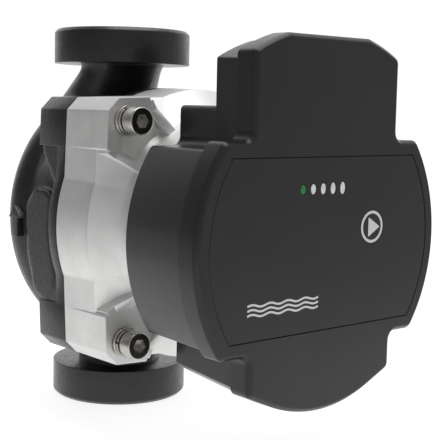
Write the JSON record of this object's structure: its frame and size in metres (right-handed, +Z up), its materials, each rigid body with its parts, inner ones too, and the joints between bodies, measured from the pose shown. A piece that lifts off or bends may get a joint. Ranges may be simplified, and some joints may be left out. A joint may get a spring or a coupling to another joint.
{
  "type": "circulator_pump",
  "caption": "Wet-rotor circulator pump: black cast-iron volute with inline ports, aluminium motor housing, black control box with a status panel and one push button",
  "frame": {"origin": "centre of the lower (inlet) port's sealing face", "axes": "+Z up the pipe axis from inlet to outlet; the motor and its control box point along -Y; +X is to the right of a viewer facing the panel"},
  "size_m": [0.0992, 0.1298, 0.13],
  "materials": {
    "cast_iron": "black dip-painted casting, half gloss over a fine rough skin",
    "cast_aluminium": "die-cast, fine-blasted, bare",
    "screw_steel": "zinc-plated, bright",
    "box_plastic": "moulded satin black, fine texture",
    "panel_plastic": "printed front film, satin",
    "button_plastic": "soft-touch cap with a pale ring",
    "green_light": "translucent, green",
    "pale_light": "translucent, milky",
    "stainless": "drawn stainless sheet",
    "impeller_plastic": "glass-filled moulding",
    "ceramic": "ground",
    "magnet": "coated magnet",
    "carbon": "carbon graphite, ground",
    "rubber": "moulded",
    "lamination": "stacked sheet",
    "copper": "enamelled copper winding",
    "board": "solder-masked laminate",
    "dark_plastic": "moulded"
  },
  "bodies": {
    "pump": {"pump_housing": "cast_iron", "wear_ring": "stainless", "front_bearing": "carbon", "rear_bearing": "carbon", "bearing_plate": "stainless", "rotor_can": "stainless", "housing_gasket": "rubber", "stator_housing": "cast_aluminium", "stator_core": "lamination", "lead_connector": "dark_plastic", "control_board": "board", "bulk_capacitor": "dark_plastic", "filter_choke": "copper", "power_module": "dark_plastic", "switch_body": "dark_plastic", "box_gasket": "rubber", "box_base": "box_plastic", "box_cover": "box_plastic", "front_panel": "panel_plastic", "mains_socket": "dark_plastic", "signal_socket": "dark_plastic", "blanking_plug": "rubber", "housing_screw_1": "screw_steel", "flat_washer_1": "screw_steel", "spring_washer_1": "screw_steel", "housing_screw_2": "screw_steel", "flat_washer_2": "screw_steel", "spring_washer_2": "screw_steel", "housing_screw_3": "screw_steel", "flat_washer_3": "screw_steel", "spring_washer_3": "screw_steel", "housing_screw_4": "screw_steel", "flat_washer_4": "screw_steel", "spring_washer_4": "screw_steel", "stator_coil_1": "copper", "stator_coil_2": "copper", "stator_coil_3": "copper", "stator_coil_4": "copper", "stator_coil_5": "copper", "stator_coil_6": "copper", "board_screw_1": "screw_steel", "board_screw_2": "screw_steel", "base_screw_1": "screw_steel", "mains_pin_1": "stainless", "base_screw_2": "screw_steel", "mains_pin_2": "stainless", "base_screw_3": "screw_steel", "mains_pin_3": "stainless", "light_guide_1": "green_light", "light_guide_2": "pale_light", "light_guide_3": "pale_light", "light_guide_4": "pale_light", "light_guide_5": "pale_light"},
    "rotor_group": {"shaft": "ceramic", "rotor": "magnet", "impeller": "impeller_plastic", "impeller_shroud": "impeller_plastic", "thrust_bearing": "carbon"},
    "button_group": {"button": "button_plastic", "switch_plunger": "dark_plastic"}
  },
  "joints": [
    {"name": "rotor_spin", "type": "hinge", "parent": "pump", "child": "rotor_group", "pos_m": [0, 0, 0.065], "axis": [0, -1, 0], "continuous": true},
    {"name": "button_press", "type": "slide", "parent": "pump", "child": "button_group", "axis": [0, 1, 0], "range_m": [0, 0.0008], "stiffness_N_per_m": 400, "springref_m": -0.001}
  ]
}
